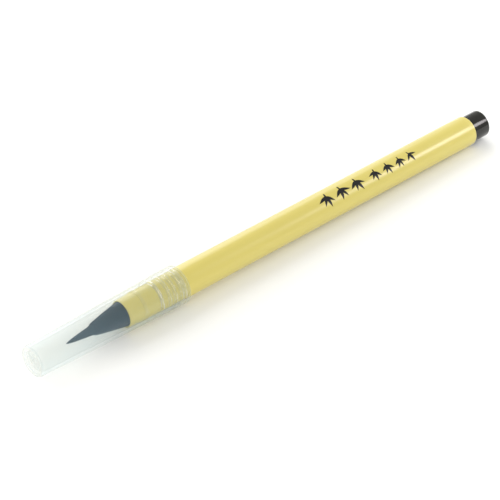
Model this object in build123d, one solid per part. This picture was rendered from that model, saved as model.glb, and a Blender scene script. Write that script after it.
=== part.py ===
from build123d import *

import os

# A capped brush pen lying along X, with the brush end towards -X and the tail towards +X.
# Every "station" below is a distance in mm from the closed end of the cap, along the pen.

# Driving dimensions, mm
LENGTH = 180.0            # closed end of the cap to the end of the tail plug
FILM_GAP = 0.02           # play between the wadding's film and the barrel's ribs

# Cap
CAP_LENGTH = 53.3
CAP_END_R = 4.85          # outer radius at the closed end
CAP_WAIST_R = 5.48        # outer radius half way along
CAP_MOUTH_R = 5.89        # outer radius at the mouth, before the collar's small step
CAP_END_WALL = 1.3
CAP_WALL = 0.9
CAP_EDGE_R = 0.55         # rounding of the closed end
CAP_INNER_EDGE_R = 0.8    # and inside it
CAP_MOUTH_EDGE_R = 0.25
LAND_START = 38.8         # inner ring that closes on the front section
LAND_END = 42.6
LAND_PLAY = 0.05          # radial play between that ring and the front section
LAND_SLOPE = 0.6          # length of the slope in front of the ring
SKIRT_START = 43.4        # from here to the mouth the cap goes over the barrel's neck
SKIRT_PLAY = 0.07         # radial play over the neck
MOUTH_LEAD = 0.35         # chamfer inside the mouth
STEP_HEIGHT = 0.05        # small step where the ribbed collar of the cap starts
COLLAR_BEAD = 43.2        # bead over that step
RIB_STATIONS = (46.0, 48.1, 50.4)
RIB_HEIGHT = 0.09
RIB_WIDTH = 0.8
RIB_EDGE_R = 0.08
RIM_WIDTH = 1.3           # plain rim at the mouth, behind a shallow groove
RIM_GROOVE = 0.9
GROOVE_SLOPE = 0.2        # length of each side of the groove
END_RIM_R = 3.6           # the closed end is dished a little inside this radius
END_DISH = 0.2
END_DISH_SLOPE = 0.4      # width of the slope down into the dish
END_DISH_EDGE_R = 0.2
GATE_R = 0.8              # mark of the moulding gate in the middle of the closed end
GATE_HEIGHT = 0.12
GATE_SLOPE = 0.1
GATE_EDGE_R = 0.05

# Barrel
BARREL_START = 43.6
BARREL_END = 173.5
BARREL_R = 4.83
NECK_END = 53.4           # the cap's mouth stops just short of the shoulder here
NECK_R = 4.66             # the front of the barrel is a neck that the cap goes over
BARREL_BORE_R = 4.1
BARREL_RIB_COUNT = 6
BARREL_RIB_WIDTH = 0.6
BARREL_RIB_ROOT = 0.2     # the ribs start this deep in the tube's wall
BARREL_EDGE_R = 0.4
BARREL_SHOULDER_EDGE_R = 0.06

# Front section: nose, shoulder, cylinder and the spigot inside the barrel
NOSE_START = 32.0
NOSE_R = 4.27
NOSE_EDGE_R = 0.12
SOCKET_EDGE_R = 0.08
SHOULDER_START = 37.2
SHOULDER_R = 4.5
SHOULDER_EDGE_R = 0.08
FRONT_R = 4.6
SPIGOT_LENGTH = 12.0
SPIGOT_R = 4.15
SPIGOT_EDGE_R = 0.2
SOCKET_R = 3.95           # the tuft stands in this socket
SOCKET_DEPTH = 6.4
SOCKET_FLOOR = 1.2
FRONT_BORE_R = 3.2

# Tail plug
PLUG_R = 4.33
PLUG_SPIGOT = 8.0         # length inside the barrel
PLUG_BORE_R = 3.3
PLUG_WALL = 1.6           # thickness of the closed end
PLUG_EDGE_R = 0.45
PLUG_SPIGOT_EDGE_R = 0.2
PLUG_INNER_EDGE_R = 0.4
PLUG_FIN_COUNT = 4
PLUG_FIN_REACH = 1.6      # the fins reach this far past the spigot, to the wadding
PLUG_FIN_INSIDE = 3.0     # and this far into the plug
PLUG_FIN_WIDTH = 0.8
PLUG_FIN_HEIGHT = 1.2     # from the plug's bore towards the axis
PLUG_FIN_ROOT = 0.3       # the fins start this deep in the plug's wall

# Tuft
TIP = 12.0
TIP_R = 0.06
STEP = 21.6               # where the short outer bristles end
STEP_OUTER_R = 1.88
STEP_INNER_R = 1.48
STEP_EDGE_R = 0.12
OGIVE_PARTS = (0, 0.25, 0.55, 1)      # the point's outline is set here, as parts of the way to the step
OGIVE_POWER = 0.68        # and its radius grows with this power of the part
TUFT_R = 3.8              # radius at the mouth of the nose
FULL_STATION = 27.6       # the outer bristles bulge a little here
FULL_R = 3.02
FULL_ROUNDING = 30.0
TUFT_CORE_R = 2.0         # the long bristles inside the nose
TUFT_CORE_START = 30.0
LONG_ROOT = 3.2           # the long bristles reach this far behind the mouth of the nose
ROOT_THICKNESS = 2.1      # disc in which the roots of the bristles are fused together

# Ink feed
CORE_R = 1.5
CORE_FRONT_EDGE_R = 0.3
CORE_REAR_EDGE_R = 0.5
CORE_INTO_WADDING = 9.0
HOLDER_FLANGE_R = 4.0
HOLDER_FLANGE = 1.4
HOLDER_FLUTE_COUNT = 3
HOLDER_FLUTE_R = 0.55
WADDING_R = 3.65
FILM_WALL = 0.12
FILM_SHORTER = 0.6        # the film stops this far short of each end of the wadding

# Worked out from the above
SPIGOT_END = BARREL_START + SPIGOT_LENGTH
SOCKET_END = NOSE_START + SOCKET_DEPTH
FRONT_BORE_START = SOCKET_END + SOCKET_FLOOR
ROOT_START = SOCKET_END - ROOT_THICKNESS
PLUG_START = BARREL_END - PLUG_SPIGOT
WADDING_START = SPIGOT_END + HOLDER_FLANGE
WADDING_END = PLUG_START - PLUG_FIN_REACH
CORE_END = WADDING_START + CORE_INTO_WADDING
FILM_R = WADDING_R + FILM_WALL
BARREL_RIB_TOP_R = FILM_R + FILM_GAP


def cap_outer_r(station):
    """Outer radius of the plain cap at a station: two gentle tapers that meet half way."""
    half = CAP_LENGTH / 2
    if station < half:
        return CAP_END_R + (CAP_WAIST_R - CAP_END_R) * station / half
    return CAP_WAIST_R + (CAP_MOUTH_R - CAP_WAIST_R) * (station - half) / half


# The last rib of the cap is the widest place on the pen, and the pen lies on it.
AXIS_HEIGHT = cap_outer_r(RIB_STATIONS[-1]) + STEP_HEIGHT + RIB_HEIGHT


def place(shape):
    """Moves a shape made along X from station 0 to where it is in the pen's own frame."""
    return Pos(-LENGTH / 2, 0, AXIS_HEIGHT) * shape


def turned(*corners):
    """A solid of revolution about X. Each corner is (station, radius) or (station, radius, rounding)."""
    points = [(corner[0], corner[1]) for corner in corners]
    rounding = [corner[2] if len(corner) > 2 else 0 for corner in corners]
    outline = FilletPolyline(*points, radius=rounding, close=True)
    return revolve(make_face(outline), Axis.X, 360)


def tube(start, end, outer_r, inner_r):
    return turned((start, inner_r), (start, outer_r), (end, outer_r), (end, inner_r))


def rod(start, end, radius):
    return turned((start, 0), (start, radius), (end, radius), (end, 0))


def spokes(start, end, inner_r, outer_r, width, count):
    """Flat ribs that stand along the pen, evenly spaced around it."""
    middle = Pos((start + end) / 2, 0, (inner_r + outer_r) / 2)
    rib = middle * Box(end - start, width, outer_r - inner_r)
    return [Rot(360 / count * i, 0, 0) * rib for i in range(count)]


def cap_rib(station):
    """A rounded ring that stands a little out of the cap's collar."""
    base = cap_outer_r(station) - RIB_HEIGHT
    top = cap_outer_r(station) + STEP_HEIGHT + RIB_HEIGHT
    low = station - RIB_WIDTH / 2
    high = station + RIB_WIDTH / 2
    return turned(
        (low, base),
        (low + RIB_WIDTH / 4, top, RIB_EDGE_R),
        (high - RIB_WIDTH / 4, top, RIB_EDGE_R),
        (high, base),
    )


def cap_shell():
    collar_lip = CAP_LENGTH - RIM_WIDTH
    groove_start = collar_lip - RIM_GROOVE
    inner_end_r = CAP_END_R - CAP_WALL
    body = turned(
        (END_DISH - GATE_HEIGHT, 0),
        (END_DISH - GATE_HEIGHT, GATE_R, GATE_EDGE_R),
        (END_DISH, GATE_R + GATE_SLOPE),
        (END_DISH, END_RIM_R - END_DISH_SLOPE, END_DISH_EDGE_R),
        (0, END_RIM_R, END_DISH_EDGE_R),
        (0, CAP_END_R, CAP_EDGE_R),
        (CAP_LENGTH / 2, CAP_WAIST_R),
        (SKIRT_START, cap_outer_r(SKIRT_START)),
        (SKIRT_START, cap_outer_r(SKIRT_START) + STEP_HEIGHT),
        (groove_start, cap_outer_r(groove_start) + STEP_HEIGHT),
        (groove_start + GROOVE_SLOPE, cap_outer_r(groove_start) - STEP_HEIGHT),
        (collar_lip - GROOVE_SLOPE, cap_outer_r(collar_lip) - STEP_HEIGHT),
        (collar_lip, cap_outer_r(collar_lip) + STEP_HEIGHT),
        (CAP_LENGTH, CAP_MOUTH_R + STEP_HEIGHT, CAP_MOUTH_EDGE_R),
        (CAP_LENGTH, NECK_R + SKIRT_PLAY + MOUTH_LEAD),
        (CAP_LENGTH - MOUTH_LEAD, NECK_R + SKIRT_PLAY),
        (SKIRT_START, NECK_R + SKIRT_PLAY),
        (LAND_END, FRONT_R + LAND_PLAY),
        (LAND_START, FRONT_R + LAND_PLAY),
        (LAND_START - LAND_SLOPE, cap_outer_r(LAND_START) - CAP_WALL),
        (CAP_END_WALL, inner_end_r, CAP_INNER_EDGE_R),
        (CAP_END_WALL, 0),
    )
    for station in (COLLAR_BEAD, *RIB_STATIONS):
        body += cap_rib(station)
    return body


def barrel_tube():
    shell = turned(
        (BARREL_START, SPIGOT_R),
        (BARREL_START, NECK_R, BARREL_EDGE_R / 2),
        (NECK_END, NECK_R),
        (NECK_END, BARREL_R, BARREL_SHOULDER_EDGE_R),
        (BARREL_END, BARREL_R, BARREL_EDGE_R),
        (BARREL_END, PLUG_R),
        (PLUG_START, PLUG_R),
        (PLUG_START, BARREL_BORE_R),
        (SPIGOT_END, BARREL_BORE_R),
        (SPIGOT_END, SPIGOT_R),
    )
    ribs_start = WADDING_START + FILM_SHORTER
    ribs_end = WADDING_END - FILM_SHORTER
    root_r = BARREL_BORE_R + BARREL_RIB_ROOT
    for rib in spokes(ribs_start, ribs_end, BARREL_RIB_TOP_R, root_r, BARREL_RIB_WIDTH, BARREL_RIB_COUNT):
        shell += rib
    return shell


def front_section():
    return turned(
        (NOSE_START, SOCKET_R, SOCKET_EDGE_R),
        (NOSE_START, NOSE_R, NOSE_EDGE_R),
        (SHOULDER_START, SHOULDER_R),
        (SHOULDER_START, FRONT_R, SHOULDER_EDGE_R),
        (BARREL_START, FRONT_R),
        (BARREL_START, SPIGOT_R),
        (SPIGOT_END, SPIGOT_R, SPIGOT_EDGE_R),
        (SPIGOT_END, FRONT_BORE_R),
        (FRONT_BORE_START, FRONT_BORE_R),
        (FRONT_BORE_START, CORE_R),
        (SOCKET_END, CORE_R),
        (SOCKET_END, SOCKET_R),
    )


def tail_plug():
    cup = turned(
        (PLUG_START, PLUG_BORE_R),
        (PLUG_START, PLUG_R, PLUG_SPIGOT_EDGE_R),
        (LENGTH, PLUG_R, PLUG_EDGE_R),
        (LENGTH, 0),
        (LENGTH - PLUG_WALL, 0),
        (LENGTH - PLUG_WALL, PLUG_BORE_R, PLUG_INNER_EDGE_R),
    )
    fins_end = PLUG_START + PLUG_FIN_INSIDE
    inner_r = PLUG_BORE_R - PLUG_FIN_HEIGHT
    root_r = PLUG_BORE_R + PLUG_FIN_ROOT
    for fin in spokes(WADDING_END, fins_end, inner_r, root_r, PLUG_FIN_WIDTH, PLUG_FIN_COUNT):
        cup += fin
    return cup


def long_bristles():
    """The long inner bundle: a straight root, a slow taper to the step and an ogive to the point."""
    root_end = NOSE_START + LONG_ROOT
    outline = []
    for part in OGIVE_PARTS:
        radius = TIP_R + (STEP_INNER_R - TIP_R) * part**OGIVE_POWER
        outline.append((TIP + (STEP - TIP) * part, radius))
    point = Spline(*outline)
    rest = Polyline(
        (STEP, STEP_INNER_R),
        (TUFT_CORE_START, TUFT_CORE_R),
        (root_end, TUFT_CORE_R),
        (root_end, 0),
        (TIP, 0),
        (TIP, TIP_R),
    )
    return revolve(make_face([point, rest]), Axis.X, 360)


def short_bristles():
    """The short outer layer: a hollow cone that ends in a step, on a round root that turns in the socket."""
    ball = Pos(NOSE_START, 0, 0) * Sphere(TUFT_R)
    front_half = Pos(NOSE_START - TUFT_R, 0, 0) * Box(TUFT_R * 2, TUFT_R * 3, TUFT_R * 3)
    cone = turned(
        (STEP, 0),
        (STEP, STEP_OUTER_R, STEP_EDGE_R),
        (FULL_STATION, FULL_R, FULL_ROUNDING),
        (NOSE_START, TUFT_R),
        (NOSE_START, 0),
    )
    return (ball - front_half) + cone - long_bristles()


def tuft_root():
    return tube(ROOT_START, SOCKET_END, SOCKET_R, CORE_R)


def feed_core():
    return turned(
        (ROOT_START, 0),
        (ROOT_START, CORE_R, CORE_FRONT_EDGE_R),
        (CORE_END, CORE_R, CORE_REAR_EDGE_R),
        (CORE_END, 0),
    )


def core_holder():
    sleeve = tube(FRONT_BORE_START, SPIGOT_END, FRONT_BORE_R, CORE_R)
    flange = tube(SPIGOT_END, WADDING_START, HOLDER_FLANGE_R, CORE_R)
    holder = sleeve + flange
    flute_length = WADDING_START - FRONT_BORE_START
    flute = Pos(FRONT_BORE_START + flute_length / 2, 0, FRONT_BORE_R) * (
        Rot(0, 90, 0) * Cylinder(HOLDER_FLUTE_R, flute_length)
    )
    for i in range(HOLDER_FLUTE_COUNT):
        holder -= Rot(360 / HOLDER_FLUTE_COUNT * i, 0, 0) * flute
    return holder


def ink_reservoir():
    return rod(WADDING_START, WADDING_END, WADDING_R) - feed_core()


def reservoir_film():
    return tube(WADDING_START + FILM_SHORTER, WADDING_END - FILM_SHORTER, FILM_R, WADDING_R)


NODES = {
    "cap_shell": cap_shell,
    "barrel_tube": barrel_tube,
    "front_section": front_section,
    "tail_plug": tail_plug,
    "outer_bristles": short_bristles,
    "inner_bristles": long_bristles,
    "tuft_root": tuft_root,
    "feed_core": feed_core,
    "core_holder": core_holder,
    "ink_reservoir": ink_reservoir,
    "reservoir_film": reservoir_film,
}

os.makedirs("parts", exist_ok=True)
for name, make in NODES.items():
    export_step(place(make()), f"parts/{name}.step")
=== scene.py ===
import math
import random

import bmesh
import bpy
from mathutils import Matrix, Vector


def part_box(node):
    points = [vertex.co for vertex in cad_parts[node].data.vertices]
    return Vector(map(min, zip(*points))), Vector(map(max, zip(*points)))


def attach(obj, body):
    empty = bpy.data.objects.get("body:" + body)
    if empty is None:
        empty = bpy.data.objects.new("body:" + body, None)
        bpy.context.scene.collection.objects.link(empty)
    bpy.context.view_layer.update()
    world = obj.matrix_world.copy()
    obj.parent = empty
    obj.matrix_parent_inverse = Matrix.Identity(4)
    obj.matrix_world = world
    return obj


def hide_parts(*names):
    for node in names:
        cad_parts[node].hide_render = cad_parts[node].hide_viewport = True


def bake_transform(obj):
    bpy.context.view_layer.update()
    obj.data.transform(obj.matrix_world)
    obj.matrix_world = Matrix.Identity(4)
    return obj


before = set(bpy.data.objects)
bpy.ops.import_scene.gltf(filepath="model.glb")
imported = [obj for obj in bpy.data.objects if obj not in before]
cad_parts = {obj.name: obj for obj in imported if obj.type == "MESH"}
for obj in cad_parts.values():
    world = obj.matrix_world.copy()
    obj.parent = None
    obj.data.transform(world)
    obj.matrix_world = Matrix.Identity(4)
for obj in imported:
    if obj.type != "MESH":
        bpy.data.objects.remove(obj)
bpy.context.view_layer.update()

# A capped brush pen lying along X. A "station" is a distance in mm along the pen from the closed end
# of its cap, and radii are in mm from the pen's axis.
MM = 0.001
START_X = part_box("cap_shell")[0].x
AXIS_Z = sum(corner.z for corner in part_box("tail_plug")) / 2


def reach(node):
    """First station, last station and largest radius of a CAD node, in mm."""
    low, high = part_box(node)
    return (low.x - START_X) / MM, (high.x - START_X) / MM, (high.y - low.y) / 2 / MM


CAP_LENGTH = reach("cap_shell")[1]
BARREL_START, BARREL_END, BARREL_R = reach("barrel_tube")
LENGTH, PLUG_R = reach("tail_plug")[1:]
NOSE_START, SPIGOT_END, FRONT_R = reach("front_section")
STEP, _, TUFT_R = reach("outer_bristles")
TIP = reach("inner_bristles")[0]
SOCKET_END, SOCKET_R = reach("tuft_root")[1:]
CORE_R = reach("feed_core")[2]
WADDING_START, WADDING_END = reach("ink_reservoir")[:2]

SOFT_R = 0.05             # rounding of the smallest moulded edges, mm

# Cap, mm
CAP_END_R = 4.85
CAP_WAIST_R = 5.48
CAP_MOUTH_R = 5.89
CAP_END_WALL = 1.3
CAP_WALL = 0.9
CAP_EDGE_R = 0.55
CAP_BORE_EDGE_R = 0.8
LAND_START = 38.8         # inner ring that closes on the front section
LAND_END = 42.6
LAND_LEAD = 0.6
LAND_PLAY = 0.05
SKIRT_START = 43.4        # from here to the mouth the cap goes over the barrel's neck
SKIRT_PLAY = 0.07
MOUTH_LEAD = 0.35
MOUTH_EDGE_R = 0.25
STEP_HEIGHT = 0.05
COLLAR_BEAD = 43.2        # the ribbed collar starts with a bead
RIB_STATIONS = (46.0, 48.1, 50.4)
RIB_HEIGHT = 0.09
RIB_WIDTH = 0.8
RIB_CREST_R = 0.1
RIM_WIDTH = 1.3
RIM_GROOVE = 0.9
RIM_GROOVE_SLOPE = 0.2
RIM_LINE = 51.7           # where a pale line is painted round the rim's groove, as a highlight
END_RIM_R = 3.6
END_RIM_SLOPE = 0.4
END_RIM_EDGE_R = 0.2
END_DISH = 0.2
GATE_R = 0.8
GATE_SLOPE = 0.1
GATE_HEIGHT = 0.12

# Barrel and front section, mm
NECK_END = 53.4
NECK_R = 4.66
STEP_EDGE_R = 0.06        # outer edge of the step at the neck and at the shoulder
BORE_R = 4.1
BARREL_EDGE_R = 0.4
BARREL_RIBS = 6
BARREL_RIB_WIDTH = 0.6
BARREL_RIB_TOP_R = 3.79
BARREL_RIB_INSET = 0.6    # from each end of the wadding
BARREL_RIB_ROOT = 0.2     # how deep the ribs go into the wall
NOSE_R = 4.27
NOSE_EDGE_R = 0.15
SOCKET_EDGE_R = 0.08
SHOULDER_START = 37.2
SHOULDER_R = 4.5
SHOULDER_SLOPE = 0.1
SPIGOT_R = 4.15
SPIGOT_EDGE_R = 0.2
SOCKET_FLOOR = 1.2
FRONT_BORE_R = 3.2

# Tail plug, mm
PLUG_START = 165.5
PLUG_BORE_R = 3.3
PLUG_WALL = 1.6
PLUG_EDGE_R = 0.45
PLUG_LEAD_R = 0.2
PLUG_BORE_EDGE_R = 0.4
PLUG_FINS = 4
PLUG_FIN_WIDTH = 0.8
PLUG_FIN_HEIGHT = 1.2
PLUG_FIN_ROOT = 0.3       # how deep the fins go into the plug's wall
PLUG_FIN_REACH = 3.0      # and how far they reach into the plug from its mouth

# Tuft, mm
STEP_R = 1.88             # outer layer of bristles, where it ends
LONG_STEP_R = 1.48        # long bristles, where they come out of the outer layer
TIP_R = 0.04
OGIVE_POWER = 0.68        # 1 would make the long bristles a straight cone
CONE_FULLNESS = 0.06      # how far the outer layer swells out of a straight cone
SHORT_ROOT = NOSE_START + 2.5
LONG_ROOT = STEP + 3.0

# The dark core under each layer of bristles, mm
SHORT_CORE_END = STEP + 0.5
SHORT_CORE_END_DEPTH = 0.15
SHORT_CORE_FULL = STEP + 1.5
SHORT_CORE_DEPTH = 0.13   # from the tuft's surface down to the core
LONG_CORE_DEPTH = 0.07
LONG_CORE_MIN_R = 0.02
CORE_SPACING = 0.6        # longest stretch of a core's outline

# Bristles, mm. Rows of the short ones: how many, depth below the surface, unevenness of their ends
SHORT_ROWS = ((168, 0.0, 0.25), (168, 0.05, 0.15))
SHORT_JITTER = 0.35       # how far one stands off its even place, as a share of the spacing
SHORT_LIFT = 0.02         # and up or down from the surface
LONG_COUNT = 190
LONG_JITTER = 0.4
LONG_LIFT = (-0.025, 0.015)
LONG_ENDS = 0.55          # share of the point over which the long ones end
HALF_WIDTH = 0.021        # of a bristle, as a share of the tuft's radius around it
LONG_HALF_WIDTH = 0.012   # added to that for the long ones
FILAMENT_SIDES = 5
FILAMENT_SWELL = 0.3      # share of its full width that a bristle gains at each section from its end

# Printed decoration, mm: a row of ink leaf sprigs along the barrel
SPRIG_STATIONS = (110.35, 116.7, 123.0, 130.4, 135.9, 141.1, 146.0)
SPRIG_ANGLE = math.radians(120)       # around the pen, from +Y up towards +Z
SPRIG_FILL = 0.92                     # size of a sprig, as a share of its distance from the next
INK_HEIGHT = 0.008
LEAF_STRIPS = 6                       # facets across a leaf, so that it follows the barrel
LEAF_PIECES = 14                      # and along it
LEAF_BELLY = 0.75                     # below 1 a leaf is widest nearer its root
LEAF_POINT = 0.06                     # a leaf's width at its ends, as a share of its full width
LEAF_LENGTH = (0.62, 0.74)            # as a share of the sprig's size
LEAF_WIDTH = (0.26, 0.32)             # as a share of its length
LEAF_BEND = 0.12                      # sideways bend of the outer leaves, as a share of their length
LEAF_FAN = (0.75, 0.95)               # angle from the middle leaf to the outer ones
OUTER_LEAF_LOSS = 0.12                # how much shorter the outer leaves are
SPRIG_TILT = 0.35                     # a sprig leans by up to this angle
SPRIG_FOOT = 0.45                     # shares of its size: from its middle to its foot,
SPRIG_KNOT = 0.22                     # from there to the knot that the leaves fan out from,
STEM_LENGTH = 0.40                    # and its stem
STEM_WIDTH = 0.10

TURNED_SIDES = 160        # facets around a turned piece
ON_AXIS = 1e-7            # a radius below this, in mm, is a point on the axis
SHARP_PIECE = 35.0        # edges sharper than this stay sharp, in degrees
SHARP_PRINT = 60.0
SHARP_BRISTLES = 80.0


# ---------------------------------------------------------------- meshes

def place_point(station, y, z):
    """A point along the pen and across its axis, in the row frame and in metres."""
    return Vector((START_X + station * MM, y * MM, AXIS_Z + z * MM))


def around(station, radius, angle):
    """The point at a radius from the axis, and at an angle that goes from +Y up towards +Z."""
    return place_point(station, radius * math.cos(angle), radius * math.sin(angle))


def rounded(corners, steps):
    """The outline through (station, radius[, rounding]) corners, with each rounding as an arc."""
    outline = []
    for i, corner in enumerate(corners):
        here = Vector(corner[:2])
        rounding = corner[2] if len(corner) > 2 else 0.0
        if rounding <= 0 or i in (0, len(corners) - 1):
            outline.append(here)
            continue
        before = (Vector(corners[i - 1][:2]) - here).normalized()
        after = (Vector(corners[i + 1][:2]) - here).normalized()
        half = before.angle(after) / 2
        run = rounding / math.tan(half)
        centre = here + (before + after).normalized() * (rounding / math.sin(half))
        start = here + before * run - centre
        end = here + after * run - centre
        sweep = math.copysign(start.angle(end), start.cross(end))
        for k in range(steps + 1):
            c, s = math.cos(sweep * k / steps), math.sin(sweep * k / steps)
            outline.append(centre + Vector((start.x * c - start.y * s, start.x * s + start.y * c)))
    return outline


def divided(outline, longest):
    """Adds points so that no stretch of the outline is longer than longest."""
    result = [outline[0]]
    for a, b in zip(outline, outline[1:]):
        pieces = max(1, math.ceil((b - a).length / longest))
        result += [a.lerp(b, k / pieces) for k in range(1, pieces + 1)]
    return result


def turned(corners, longest=4.0, sides=TURNED_SIDES, steps=5):
    """A bmesh turned about the pen's axis.

    The outline closes on itself, or runs from the axis to the axis.
    """
    bm = bmesh.new()
    rings = []
    for point in divided(rounded(corners, steps), longest):
        count = sides if point.y > ON_AXIS else 1
        places = [around(point.x, point.y, 2 * math.pi * k / sides) for k in range(count)]
        rings.append([bm.verts.new(place) for place in places])
    pairs = list(zip(rings, rings[1:]))
    if len(rings[0]) > 1 and len(rings[-1]) > 1:
        pairs.append((rings[-1], rings[0]))
    for a, b in pairs:
        for k in range(sides):
            corner_a = [a[k], a[(k + 1) % sides]] if len(a) > 1 else [a[0]]
            corner_b = [b[(k + 1) % sides], b[k]] if len(b) > 1 else [b[0]]
            if len(corner_a) + len(corner_b) > 2:
                bm.faces.new(corner_a + corner_b)
    return bm


def add_loft(bm, sections):
    """Adds a closed solid through sections that have the same number of points each."""
    rings = [[bm.verts.new(point) for point in section] for section in sections]
    bm.faces.new(rings[0][::-1])
    bm.faces.new(rings[-1])
    count = len(rings[0])
    for a, b in zip(rings, rings[1:]):
        for k in range(count):
            m = (k + 1) % count
            bm.faces.new((a[k], a[m], b[m], b[k]))


def add_spokes(bm, start, end, inner_r, outer_r, width, count):
    """Flat ribs along the pen, evenly spaced around it."""
    half = width / 2
    corners = ((inner_r, -half), (inner_r, half), (outer_r, half), (outer_r, -half))
    for i in range(count):
        angle = 2 * math.pi * i / count + math.pi / 2
        c, s = math.cos(angle), math.sin(angle)
        across = [(r * c - w * s, r * s + w * c) for r, w in corners]
        add_loft(bm, [[place_point(station, y, z) for y, z in across] for station in (start, end)])


def finished(name, bm, sharp=SHARP_PIECE):
    """Makes the piece from its bmesh, smooth except at edges sharper than the angle given, in degrees."""
    bmesh.ops.recalc_face_normals(bm, faces=bm.faces)
    for face in bm.faces:
        face.smooth = True
    for edge in bm.edges:
        if len(edge.link_faces) == 2 and edge.calc_face_angle(0) > math.radians(sharp):
            edge.smooth = False
    mesh = bpy.data.meshes.new(name)
    bm.to_mesh(mesh)
    bm.free()
    piece = bpy.data.objects.new(name, mesh)
    bpy.context.scene.collection.objects.link(piece)
    return piece


# ---------------------------------------------------------------- shader nodes

NOISE_RANGE = (0.3, 0.7)          # most of a noise's values
NOISE_MIDDLE = (0.35, 0.65)       # a narrower range, for more contrast
PLASTIC_IOR = 1.5


class Shader:
    """A material's node tree, with short ways to add and join nodes."""

    def __init__(self, name):
        self.material = bpy.data.materials.new(name)
        self.material.use_nodes = True
        self.tree = self.material.node_tree
        self.tree.nodes.clear()
        self.output = self.tree.nodes.new("ShaderNodeOutputMaterial")

    def node(self, kind, inputs=None, **settings):
        """Adds a node. Each of its inputs is a constant or another node's output."""
        made = self.tree.nodes.new("ShaderNode" + kind)
        for key, value in settings.items():
            setattr(made, key, value)
        for key, value in (inputs or {}).items():
            if isinstance(value, bpy.types.NodeSocket):
                self.tree.links.new(value, made.inputs[key])
            else:
                made.inputs[key].default_value = value
        return made

    def show(self, socket):
        """Joins the finished shader to the material's surface."""
        self.tree.links.new(socket, self.output.inputs["Surface"])
        return self.material

    def principled(self, inputs):
        return self.show(self.node("BsdfPrincipled", inputs).outputs[0])

    def place(self, stretch=(1, 1, 1)):
        """Coordinates in the row frame, in metres, stretched along each axis."""
        coordinates = self.node("TexCoord").outputs["Object"]
        return self.node("Mapping", {"Vector": coordinates, "Scale": stretch}).outputs[0]

    def noise(self, vector, scale, detail=3.0, roughness=0.55):
        """A noise of about scale features to the metre, times the stretch of its coordinates."""
        inputs = {"Vector": vector, "Scale": scale, "Detail": detail, "Roughness": roughness}
        return self.node("TexNoise", inputs).outputs["Fac"]

    def band(self, value, low, high, to_low=0.0, to_high=1.0):
        """Maps a value's range low..high to to_low..to_high."""
        inputs = {"Value": value, "From Min": low, "From Max": high, "To Min": to_low, "To Max": to_high}
        return self.node("MapRange", inputs).outputs[0]

    def spread(self, noise, to_low, to_high):
        """Maps the range that a noise mostly stays in to to_low..to_high."""
        return self.band(noise, *NOISE_RANGE, to_low, to_high)

    def math(self, operation, a, b=0.0):
        return self.node("Math", {0: a, 1: b}, operation=operation).outputs[0]

    def blend(self, factor, a, b):
        """A colour between a and b; a Mix node has sockets 6 and 7 and output 2 for colours."""
        return self.node("Mix", {0: factor, 6: a, 7: b}, data_type="RGBA").outputs[2]

    def mix(self, share, a, b):
        """A shader between a and b."""
        return self.node("MixShader", {0: share, 1: a, 2: b}).outputs[0]

    def bump(self, height, distance):
        return self.node("Bump", {"Height": height, "Distance": distance, "Strength": 1.0}).outputs[0]


def colour(r, g, b):
    return (r, g, b, 1.0)


def yellow_plastic():
    """Moulded yellow plastic: faint flow streaks along the pen, slight mottling and hairline scuffs."""
    s = Shader("yellow_plastic")
    streaks = s.noise(s.place((12, 500, 500)), 1.0, 3.0)
    mottle = s.noise(s.place(), 120.0, 2.0)
    scuffs = s.noise(s.place((60, 5000, 5000)), 1.0, 2.0)
    tone = s.band(s.math("ADD", streaks, mottle), 0.7, 1.3)
    return s.principled({
        "Base Color": s.blend(tone, colour(0.645, 0.546, 0.130), colour(0.655, 0.555, 0.135)),
        "Roughness": s.spread(scuffs, 0.29, 0.32),
        "Normal": s.bump(scuffs, 0.0002 * MM),
        "IOR": PLASTIC_IOR,
        "Coat Weight": 0.45,
        "Coat Roughness": 0.26,
    })


def black_plastic():
    """Semi-gloss black plastic with fine handling marks."""
    s = Shader("black_plastic")
    grain = s.noise(s.place(), 2600.0, 3.0)
    marks = s.noise(s.place((150, 1600, 1600)), 1.0, 3.0)
    tone = s.band(grain, *NOISE_MIDDLE)
    return s.principled({
        "Base Color": s.blend(tone, colour(0.004, 0.004, 0.003), colour(0.010, 0.010, 0.007)),
        "Roughness": s.spread(marks, 0.12, 0.17),
        "Normal": s.bump(grain, 0.002 * MM),
        "IOR": PLASTIC_IOR,
    })


# Each face of the cap's wall scatters a share of the light. Seen less square on it scatters more: the
# share is divided by how square on the face is seen, or by its edge-on value if that is larger.
HAZE = 0.071              # that share, seen square on
HAZE_FLOW = 0.15          # how much it varies, as a share of it
OUTER_EDGE_ON = 0.36
INNER_EDGE_ON = 0.75
MILK_THROUGH = 0.6        # share of the scattered light that goes on through the wall
THICK_FACING = (0.45, 0.95)           # the wall's tint turns to that of thick plastic over this range
RING_HIGHLIGHT_WHITENS = 3.0       # and by this times a ring's haze, which whitens the ring into a painted highlight

# Rings where the wall is thicker or edged, and one over the nose's shoulder: station, half width, more
# haze, more mirror. Except at the closed end, the extra haze and its whiter tint are painted highlights,
# bright lines that stand in for light the clear plastic refracts there; the extra mirror reflects the
# lamps more strongly.
RIB_RING = (0.26, 0.16, 0.26)
RINGS = (
    (0.0, 0.60, 0.28, 0.02),                          # the closed end's face
    (SHOULDER_START + 0.2, 0.24, 0.08, 0.14),         # painted highlight over the nose's shoulder, on a plain stretch of the wall
    (COLLAR_BEAD, 0.30, 0.27, 0.44),
    *((station, *RIB_RING) for station in RIB_STATIONS),
    (RIM_LINE, 0.30, 0.16, 0.26),
)
SEEN_FROM_FACE = 0.022    # share that a face mirrors, seen square on
OUTER_GRAZING = 0.22      # and how much more, seen edge on
INNER_GRAZING = 0.04
GRAZING_POWER = 5.0


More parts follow.
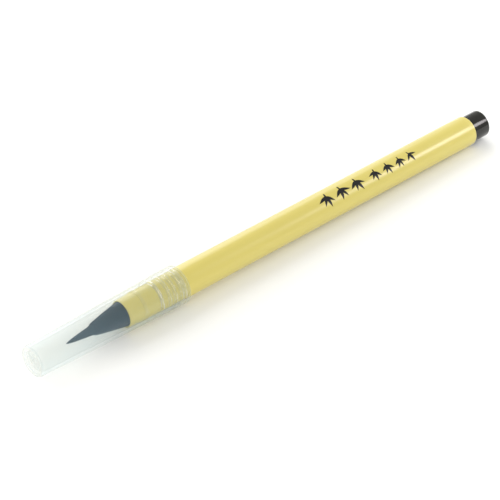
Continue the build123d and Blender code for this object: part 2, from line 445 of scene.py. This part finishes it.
def cap_plastic():
    """Milky clear plastic: each face of the wall scatters some light, more and whiter seen edge on, and
    its rings carry painted highlight lines.
    """
    s = Shader("cap_plastic")
    flow = s.noise(s.place((40, 420, 420)), 1.0, 3.0)
    frost = s.noise(s.place(), 1500.0, 3.0)
    normal = s.bump(frost, 0.003 * MM)

    # Faces further from the axis than the middle of the wall are outer ones
    place = s.node("SeparateXYZ", {0: s.place()}).outputs
    up = s.math("SUBTRACT", place["Z"], AXIS_Z)
    squares = s.math("ADD", s.math("POWER", place["Y"], 2.0), s.math("POWER", up, 2.0))
    mid_wall = s.band(
        place["X"], START_X, START_X + CAP_LENGTH * MM,
        (CAP_END_R - CAP_WALL / 2) * MM, (CAP_MOUTH_R - CAP_WALL / 2) * MM,
    )
    outer = s.math("GREATER_THAN", s.math("SQRT", squares), mid_wall)

    facing = s.node("LayerWeight", {"Blend": 0.5}).outputs["Facing"]
    edge_on = s.band(outer, 0.0, 1.0, INNER_EDGE_ON, OUTER_EDGE_ON)
    square_on = s.math("MAXIMUM", s.math("SUBTRACT", 1.0, facing), edge_on)
    haze = s.spread(flow, HAZE * (1 - HAZE_FLOW), HAZE * (1 + HAZE_FLOW))
    haze = s.math("DIVIDE", haze, square_on)
    mirror = SEEN_FROM_FACE
    thick_or_highlight = s.band(facing, *THICK_FACING)
    # Each ring adds haze and a whiter tint, which paint its bright line, and more mirror
    for station, half_width, more_haze, more_mirror in RINGS:
        off = s.math("ABSOLUTE", s.math("SUBTRACT", place["X"], START_X + station * MM))
        more = s.band(off, 0.0, half_width * MM, more_haze, 0.0)
        haze = s.math("ADD", haze, more)
        thick_or_highlight = s.math("ADD", thick_or_highlight, s.math("MULTIPLY", more, RING_HIGHLIGHT_WHITENS))
        mirror = s.math("ADD", mirror, s.band(off, 0.0, half_width * MM, more_mirror, 0.0))
    grazing = s.band(outer, 0.0, 1.0, INNER_GRAZING, OUTER_GRAZING)
    grazing = s.math("MULTIPLY", s.math("POWER", facing, GRAZING_POWER), grazing)

    thin = s.blend(flow, colour(0.49, 0.76, 0.97), colour(0.53, 0.79, 0.99))
    milk_inputs = {"Color": s.blend(thick_or_highlight, thin, colour(0.84, 0.87, 0.84)), "Normal": normal}
    back = s.node("BsdfDiffuse", milk_inputs).outputs[0]
    through = s.node("BsdfTranslucent", milk_inputs).outputs[0]
    clear = s.node("BsdfTransparent", {"Color": colour(0.992, 0.979, 0.951)}).outputs[0]
    gloss = s.node("BsdfGlossy", {"Roughness": s.spread(frost, 0.10, 0.18), "Normal": normal}).outputs[0]
    wall = s.mix(haze, clear, s.mix(MILK_THROUGH, back, through))
    return s.show(s.mix(s.math("ADD", grazing, mirror), wall, gloss))


def bristle_nylon():
    """Black nylon filaments, wet with ink: finely streaked, a little blue-grey where ink has dried."""
    s = Shader("bristle_nylon")
    strands = s.noise(s.place((120, 9000, 9000)), 1.0, 2.0)
    dried = s.band(s.noise(s.place(), 500.0, 3.0), *NOISE_MIDDLE)
    return s.principled({
        "Base Color": s.blend(dried, colour(0.003, 0.007, 0.012), colour(0.008, 0.014, 0.022)),
        "Roughness": s.spread(strands, 0.38, 0.55),
        "Normal": s.bump(strands, 0.002 * MM),
        "Specular IOR Level": 0.34,
    })


def print_ink():
    """A thin film of black ink, slightly uneven."""
    s = Shader("print_ink")
    patchy = s.noise(s.place(), 4000.0, 3.0)
    return s.principled({
        "Base Color": s.blend(patchy, colour(0.003, 0.003, 0.0035), colour(0.012, 0.012, 0.012)),
        "Roughness": s.spread(patchy, 0.30, 0.45),
        "Specular IOR Level": 0.3,
    })


def fibre(name, dark, light, stretch):
    """Felted or bonded fibre with its strands along the pen."""
    s = Shader(name)
    strands = s.noise(s.place(stretch), 1.0, 5.0, 0.7)
    return s.principled({
        "Base Color": s.blend(s.spread(strands, 0.0, 1.0), dark, light),
        "Roughness": s.spread(strands, 0.7, 0.95),
        "Normal": s.bump(strands, 0.05 * MM),
    })


def plain_plastic(name, dark, light, roughness):
    """Moulded plastic out of sight, with a faint flow pattern."""
    s = Shader(name)
    flow = s.noise(s.place((80, 600, 600)), 1.0, 3.0)
    return s.principled({
        "Base Color": s.blend(flow, dark, light),
        "Roughness": s.spread(flow, roughness - 0.06, roughness + 0.06),
        "Normal": s.bump(flow, 0.01 * MM),
    })


def clear_film():
    """Thin clear film with faint wrinkles."""
    s = Shader("clear_film")
    wrinkles = s.noise(s.place((60, 900, 900)), 1.0, 3.0)
    clear = s.node("BsdfTransparent", {"Color": colour(0.96, 0.96, 0.97)}).outputs[0]
    gloss = s.node("BsdfGlossy", {"Roughness": 0.12, "Normal": s.bump(wrinkles, 0.05 * MM)}).outputs[0]
    return s.show(s.mix(s.spread(wrinkles, 0.12, 0.25), clear, gloss))


def floor_paper():
    """A white sheet with a barely visible tooth."""
    s = Shader("floor_paper")
    tooth = s.noise(s.place(), 900.0, 4.0)
    return s.principled({
        "Base Color": s.blend(tooth, colour(0.925, 0.925, 0.92), colour(0.94, 0.94, 0.935)),
        "Roughness": 0.85,
        "Normal": s.bump(tooth, 0.01 * MM),
    })


def dress(obj, material, body=None):
    """Gives a piece its material and, for a new piece, its body."""
    obj.data.materials.clear()
    obj.data.materials.append(material)
    if body:
        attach(obj, body)
    return obj


# ---------------------------------------------------------------- pieces

def cap_radius(station):
    """Outer radius of the plain cap: two gentle tapers that meet half way."""
    half = CAP_LENGTH / 2
    if station < half:
        return CAP_END_R + (CAP_WAIST_R - CAP_END_R) * station / half
    return CAP_WAIST_R + (CAP_MOUTH_R - CAP_WAIST_R) * (station - half) / half


def cap():
    """Thin-walled cap with a dished end, a gate mark, a ribbed collar and a grooved rim."""
    lip = CAP_LENGTH - RIM_WIDTH
    groove = lip - RIM_GROOVE
    foot, crest = RIB_WIDTH / 2, RIB_WIDTH / 5
    outline = [
        (END_DISH - GATE_HEIGHT, 0),
        (END_DISH - GATE_HEIGHT, GATE_R, SOFT_R),
        (END_DISH, GATE_R + GATE_SLOPE),
        (END_DISH, END_RIM_R - END_RIM_SLOPE, END_RIM_EDGE_R),
        (0, END_RIM_R, END_RIM_EDGE_R),
        (0, CAP_END_R, CAP_EDGE_R),
        (CAP_LENGTH / 2, CAP_WAIST_R),
    ]
    for station in (COLLAR_BEAD, *RIB_STATIONS):
        base = cap_radius(station) + (STEP_HEIGHT if station > SKIRT_START else 0)
        outline += [
            (station - foot, base, SOFT_R),
            (station - crest, base + RIB_HEIGHT, RIB_CREST_R),
            (station + crest, base + RIB_HEIGHT, RIB_CREST_R),
            (station + foot, base, SOFT_R),
        ]
    outline += [
        (groove, cap_radius(groove) + STEP_HEIGHT, SOFT_R),
        (groove + RIM_GROOVE_SLOPE, cap_radius(groove) - STEP_HEIGHT, SOFT_R),
        (lip - RIM_GROOVE_SLOPE, cap_radius(lip) - STEP_HEIGHT, SOFT_R),
        (lip, cap_radius(lip) + STEP_HEIGHT, SOFT_R),
        (CAP_LENGTH, CAP_MOUTH_R + STEP_HEIGHT, MOUTH_EDGE_R),
        (CAP_LENGTH, NECK_R + SKIRT_PLAY + MOUTH_LEAD),
        (CAP_LENGTH - MOUTH_LEAD, NECK_R + SKIRT_PLAY),
        (SKIRT_START, NECK_R + SKIRT_PLAY),
        (LAND_END, FRONT_R + LAND_PLAY),
        (LAND_START, FRONT_R + LAND_PLAY),
        (LAND_START - LAND_LEAD, cap_radius(LAND_START) - CAP_WALL),
        (CAP_END_WALL, CAP_END_R - CAP_WALL, CAP_BORE_EDGE_R),
        (CAP_END_WALL, 0),
    ]
    return finished("cap", turned(outline))


def barrel():
    """Plain tube with a neck under the cap and six ribs inside that hold the wadding."""
    bm = turned([
        (BARREL_START, SPIGOT_R),
        (BARREL_START, NECK_R, BARREL_EDGE_R / 2),
        (NECK_END, NECK_R, SOFT_R),
        (NECK_END, BARREL_R, STEP_EDGE_R),
        (BARREL_END, BARREL_R, BARREL_EDGE_R),
        (BARREL_END, PLUG_R),
        (PLUG_START, PLUG_R),
        (PLUG_START, BORE_R),
        (SPIGOT_END, BORE_R),
        (SPIGOT_END, SPIGOT_R),
    ])
    start, end = WADDING_START + BARREL_RIB_INSET, WADDING_END - BARREL_RIB_INSET
    add_spokes(
        bm, start, end, BARREL_RIB_TOP_R, BORE_R + BARREL_RIB_ROOT, BARREL_RIB_WIDTH, BARREL_RIBS,
    )
    return finished("barrel", bm)


def nose():
    """Front section: the nose round the tuft, its shoulder and the spigot inside the barrel."""
    return finished("nose", turned([
        (SOCKET_END, SOCKET_R),
        (NOSE_START, SOCKET_R, SOCKET_EDGE_R),
        (NOSE_START, NOSE_R, NOSE_EDGE_R),
        (SHOULDER_START, SHOULDER_R, SOFT_R),
        (SHOULDER_START + SHOULDER_SLOPE, FRONT_R, STEP_EDGE_R),
        (BARREL_START, FRONT_R, SOFT_R),
        (BARREL_START, SPIGOT_R),
        (SPIGOT_END, SPIGOT_R, SPIGOT_EDGE_R),
        (SPIGOT_END, FRONT_BORE_R),
        (SOCKET_END + SOCKET_FLOOR, FRONT_BORE_R),
        (SOCKET_END + SOCKET_FLOOR, CORE_R),
        (SOCKET_END, CORE_R),
    ]))


def plug():
    """Round-edged cup that closes the tail, with four fins inside that stop the wadding."""
    bm = turned([
        (LENGTH, 0),
        (LENGTH, PLUG_R, PLUG_EDGE_R),
        (PLUG_START, PLUG_R, PLUG_LEAD_R),
        (PLUG_START, PLUG_BORE_R),
        (LENGTH - PLUG_WALL, PLUG_BORE_R, PLUG_BORE_EDGE_R),
        (LENGTH - PLUG_WALL, 0),
    ], steps=8)
    add_spokes(
        bm, WADDING_END, PLUG_START + PLUG_FIN_REACH,
        PLUG_BORE_R - PLUG_FIN_HEIGHT, PLUG_BORE_R + PLUG_FIN_ROOT, PLUG_FIN_WIDTH, PLUG_FINS,
    )
    return finished("plug", bm)


def short_tuft_radius(station):
    """Outside of the short outer bristles: a slightly full cone, then straight inside the nose."""
    part = min((station - STEP) / (NOSE_START - STEP), 1.0)
    return STEP_R + (TUFT_R - STEP_R) * part + CONE_FULLNESS * math.sin(math.pi * max(part, 0.0))


def long_tuft_radius(station):
    """Outside of the long bristles: an ogive out of the short ones."""
    part = max((station - TIP) / (STEP - TIP), 0.0)
    return TIP_R + (LONG_STEP_R - TIP_R) * part ** OGIVE_POWER


def spaced(start, end, pieces):
    """Evenly spaced stations from start to end."""
    return [start + (end - start) * (i / pieces) for i in range(pieces + 1)]


def add_filament(bm, first, taper, root, radius_at, half_width_at, angle, sway, blunt):
    """One bristle under the tuft's surface, from its free end at the first station to its root.

    Its end is blunt times its full width and turned by the angle sway about the pen.
    """
    stations = spaced(first, first + taper, 4) + spaced(first + taper, root, 9)[1:]
    sections = []
    for i, station in enumerate(stations):
        turn = angle + sway * (stations[-1] - station) / (stations[-1] - stations[0])
        half = half_width_at(station) * min(1.0, blunt + FILAMENT_SWELL * i)
        centre_r = radius_at(station) - half_width_at(station)
        section = []
        for k in range(FILAMENT_SIDES):
            way = 2 * math.pi * k / FILAMENT_SIDES
            y = centre_r * math.cos(turn) + half * math.cos(way)
            z = centre_r * math.sin(turn) + half * math.sin(way)
            section.append(place_point(station, y, z))
        sections.append(section)
    add_loft(bm, sections)


def short_bristles(rng):
    """Outer layer of bristles, which ends unevenly in a step."""
    core = [
        (SHORT_CORE_END, 0),
        (SHORT_CORE_END, short_tuft_radius(SHORT_CORE_END) - SHORT_CORE_END_DEPTH),
    ]
    for station in spaced(SHORT_CORE_FULL, SHORT_ROOT, 12):
        core.append((station, short_tuft_radius(station) - SHORT_CORE_DEPTH))
    core.append((SHORT_ROOT, 0))
    bm = turned(core, longest=CORE_SPACING, sides=96)
    for count, depth, unevenness in SHORT_ROWS:
        for i in range(count):
            angle = 2 * math.pi * (i + rng.uniform(-SHORT_JITTER, SHORT_JITTER)) / count
            lift = rng.uniform(-SHORT_LIFT, SHORT_LIFT) - depth
            add_filament(
                bm,
                first=STEP + unevenness * rng.random() ** 1.5,
                taper=1.0,
                root=SHORT_ROOT,
                radius_at=lambda station: short_tuft_radius(station) + lift,
                half_width_at=lambda station: HALF_WIDTH * short_tuft_radius(station),
                angle=angle,
                sway=rng.uniform(-0.05, 0.05),
                blunt=0.7,
            )
    return finished("bristles_outer", bm, SHARP_BRISTLES)


def long_bristles(rng):
    """Long bristles that run together to the point."""
    core = [(TIP, 0)]
    for station in spaced(TIP + 0.05, LONG_ROOT, 24):
        core.append((station, max(long_tuft_radius(station) - LONG_CORE_DEPTH, LONG_CORE_MIN_R)))
    core.append((LONG_ROOT, 0))
    bm = turned(core, longest=CORE_SPACING, sides=72)
    for i in range(LONG_COUNT):
        angle = 2 * math.pi * (i + rng.uniform(-LONG_JITTER, LONG_JITTER)) / LONG_COUNT
        lift = rng.uniform(*LONG_LIFT)
        add_filament(
            bm,
            first=TIP + (STEP - TIP) * LONG_ENDS * rng.random() ** 1.3,
            taper=1.2,
            root=LONG_ROOT,
            radius_at=lambda station: long_tuft_radius(station) + lift,
            half_width_at=lambda station: LONG_HALF_WIDTH + HALF_WIDTH * long_tuft_radius(station),
            angle=angle,
            sway=rng.uniform(-0.15, 0.15),
            blunt=0.15,
        )
    return finished("bristles_inner", bm, SHARP_BRISTLES)


def on_barrel(u, v, height, station):
    """A point of the print: u along the pen from the station, v around the barrel, both in mm."""
    return around(station + u, BARREL_R + height, SPRIG_ANGLE + v / BARREL_R)


def add_leaf(bm, station, root, heading, length, width, bend):
    """One pointed, slightly bent leaf or stem of ink, a thin solid that follows the barrel."""
    c, s = math.cos(heading), math.sin(heading)
    top = [(2 * k / LEAF_STRIPS - 1, INK_HEIGHT) for k in range(LEAF_STRIPS + 1)]
    ring = top + [(side, -height) for side, height in reversed(top)]
    sections = []
    for k in range(LEAF_PIECES + 1):
        t = k / LEAF_PIECES
        half = width / 2 * max(math.sin(math.pi * t ** LEAF_BELLY), LEAF_POINT)
        section = []
        for side, height in ring:
            along = length * t
            across = bend * t * t + side * half
            u = root[0] + along * c - across * s
            v = root[1] + along * s + across * c
            section.append(on_barrel(u, v, height, station))
        sections.append(section)
    add_loft(bm, sections)


def sprig(number, station, size, rng):
    """A cluster of bamboo leaves that fan out from the end of a short stem."""
    bm = bmesh.new()
    heading = math.pi / 2 + rng.uniform(-SPRIG_TILT, SPRIG_TILT)
    c, s = math.cos(heading), math.sin(heading)
    foot = (-c * size * SPRIG_FOOT, -s * size * SPRIG_FOOT)
    add_leaf(bm, station, foot, heading, size * STEM_LENGTH, size * STEM_WIDTH, 0.0)
    knot = (foot[0] + c * size * SPRIG_KNOT, foot[1] + s * size * SPRIG_KNOT)
    leaves = rng.choice((3, 4))
    for i in range(leaves):
        side = 2 * i / (leaves - 1) - 1
        length = size * rng.uniform(*LEAF_LENGTH) * (1 - OUTER_LEAF_LOSS * abs(side))
        turn = heading + side * rng.uniform(*LEAF_FAN)
        width = length * rng.uniform(*LEAF_WIDTH)
        add_leaf(bm, station, knot, turn, length, width, side * length * LEAF_BEND)
    return finished(f"leaf_sprig_{number}", bm, SHARP_PRINT)


# ---------------------------------------------------------------- assembly

YELLOW = yellow_plastic()
BLACK = black_plastic()
NYLON = bristle_nylon()
INK = print_ink()

PIECES = (
    (cap(), cap_plastic(), "cap", "cap_plastic", "cap_shell"),
    (barrel(), YELLOW, "barrel", "yellow_plastic", "barrel_tube"),
    (nose(), YELLOW, "barrel", "yellow_plastic", "front_section"),
    (plug(), BLACK, "barrel", "black_plastic", "tail_plug"),
)
for piece, material, body, slot, node in PIECES:
    dress(piece, material, body)
    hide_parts(node)

RNG = random.Random(7)
for piece, node in ((short_bristles(RNG), "outer_bristles"), (long_bristles(RNG), "inner_bristles")):
    dress(piece, NYLON)
    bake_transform(piece)
    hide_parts(node)

for number, station in enumerate(SPRIG_STATIONS, 1):
    nearest = min(abs(other - station) for other in SPRIG_STATIONS if other != station)
    dress(sprig(number, station, nearest * SPRIG_FILL, RNG), INK, "barrel")

INNER_FINISHES = {
    "tuft_root": plain_plastic(
        "fused_nylon", colour(0.012, 0.012, 0.014), colour(0.03, 0.03, 0.034), roughness=0.42,
    ),
    "feed_core": fibre(
        "feed_fibre", colour(0.05, 0.05, 0.055), colour(0.16, 0.16, 0.165), stretch=(60, 4000, 4000),
    ),
    "core_holder": plain_plastic(
        "natural_plastic", colour(0.72, 0.72, 0.68), colour(0.80, 0.80, 0.77), roughness=0.45,
    ),
    "ink_reservoir": fibre(
        "ink_wadding", colour(0.01, 0.01, 0.012), colour(0.06, 0.06, 0.07), stretch=(90, 2500, 2500),
    ),
    "reservoir_film": clear_film(),
}
for node, material in INNER_FINISHES.items():
    dress(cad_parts[node], material)


# ---------------------------------------------------------------- floor, light and camera

FLOOR_SIZE = 3.0                      # m
FLOOR_CLEARANCE = 0.01                # mm, so that the sheet and the pen's faces don't coincide
CAMERA_ANGLE = math.radians(41.67)    # the view is turned this far from +Y towards +X
CAMERA_DIP = math.radians(36.93)      # and looks down by this much
CAMERA_LENS = 162.0
CAMERA_SENSOR = 36.0
CAP_END_LEFT = 60.67                  # the cap's closed end, from the view's axis and from the camera, mm
CAP_END_BELOW = 31.18
CAP_END_AWAY = 625.87
SUN_ANGLE = math.radians(80)          # as wide as a wall of soft boxes


def camera_axes():
    """Unit vectors to the view's right, down and away from the camera."""
    ca, sa = math.cos(CAMERA_ANGLE), math.sin(CAMERA_ANGLE)
    cd, sd = math.cos(CAMERA_DIP), math.sin(CAMERA_DIP)
    return Vector((ca, -sa, 0)), Vector((-sa * sd, -ca * sd, -cd)), Vector((sa * cd, ca * cd, -sd))


def camera():
    """The camera that the photo was taken with, as fitted to the pen's outlines and rings."""
    right, down, away = camera_axes()
    lens = bpy.data.cameras.new("camera")
    lens.lens = CAMERA_LENS
    lens.sensor_width = CAMERA_SENSOR
    lens.clip_start = 0.01
    view = bpy.data.objects.new("camera", lens)
    bpy.context.scene.collection.objects.link(view)
    end = place_point(0, 0, 0)
    eye = end + right * (CAP_END_LEFT * MM) - down * (CAP_END_BELOW * MM) - away * (CAP_END_AWAY * MM)
    turn = Matrix((right, -down, -away)).transposed().to_4x4()
    view.matrix_world = Matrix.Translation(eye) @ turn
    bpy.context.scene.camera = view


def floor():
    """The sheet that the pen lies on: it touches the cap's last rib and the end of the barrel."""
    rib = RIB_STATIONS[-1]
    rib_r = cap_radius(rib) + STEP_HEIGHT + RIB_HEIGHT
    slope = math.atan2(rib_r - BARREL_R, BARREL_END - rib)
    bm = bmesh.new()
    bmesh.ops.create_grid(bm, x_segments=8, y_segments=8, size=FLOOR_SIZE / 2)
    sheet = finished("floor_sheet", bm)
    contact = Matrix.Translation(place_point(rib, 0, -rib_r - FLOOR_CLEARANCE))
    sheet.matrix_world = contact @ Matrix.Rotation(-slope, 4, "Y")
    sheet.data.materials.append(floor_paper())


def aimed(lamp, direction, distance=1.0, target=None):
    """Puts a lamp at a distance from its target, in the direction given, shining at it."""
    target = target or place_point(LENGTH / 2, 0, 0)
    way = Vector(direction).normalized()
    light = bpy.data.objects.new(lamp.name, lamp)
    bpy.context.scene.collection.objects.link(light)
    turn = way.to_track_quat("Z", "Y").to_matrix().to_4x4()
    light.matrix_world = Matrix.Translation(target + way * distance) @ turn
    return light


def area_light(name, size, energy, direction, distance, target, length=None, tint=(1, 1, 1)):
    """A round lamp, or a rectangle with its length upright, aimed at a point; in metres and watts."""
    lamp = bpy.data.lights.new(name, "AREA")
    lamp.shape = "RECTANGLE" if length else "DISK"
    lamp.size = size
    if length:
        lamp.size_y = length
    lamp.energy = energy
    lamp.color = tint
    return aimed(lamp, direction, distance, target)


def sun(name, energy, direction):
    """A very soft sun that shines from the direction given."""
    lamp = bpy.data.lights.new(name, "SUN")
    lamp.energy = energy
    lamp.angle = SUN_ANGLE
    return aimed(lamp, direction)


def lights():
    """A large soft key from behind the pen, soft fills, small lamps for the glints, and a pale room."""
    cap_end = place_point(0, 0, 0)
    collar = place_point(SKIRT_START + 4, 0, 0)
    tail = place_point(BARREL_END - 10, 0, 0)
    sun("key_light", 2.35, (-0.05, 0.87, 0.475))
    sun("front_fill", 0.94, (-0.1, -0.8, 0.5)).visible_glossy = False
    area_light(
        "cap_fill", size=0.16, energy=0.08, direction=(-0.85, -0.25, 0.45), distance=0.26, target=cap_end,
    )
    area_light(
        "tail_fill", size=0.16, energy=0.26, direction=(0.94, -0.05, 0.22), distance=0.2, target=tail,
    )
    tail_glint = area_light(
        "tail_glint", size=0.10, energy=0.24, direction=(0.615, -0.55, 0.565), distance=0.3, target=tail,
        tint=(1, 0.94, 0.96),
    )
    rib_glint = area_light(
        "rib_glint", size=0.10, energy=0.75, direction=(-0.17, -0.62, 0.77), distance=0.5, target=collar,
        length=0.8,
    )
    for glint in (tail_glint, rib_glint):
        glint.visible_diffuse = False
    world = bpy.data.worlds.new("studio")
    world.use_nodes = True
    room = world.node_tree.nodes["Background"].inputs
    room["Color"].default_value = colour(1.0, 0.995, 0.955)
    room["Strength"].default_value = 0.635
    bpy.context.scene.world = world
    bpy.context.scene.view_settings.view_transform = "Standard"


camera()
floor()
lights()
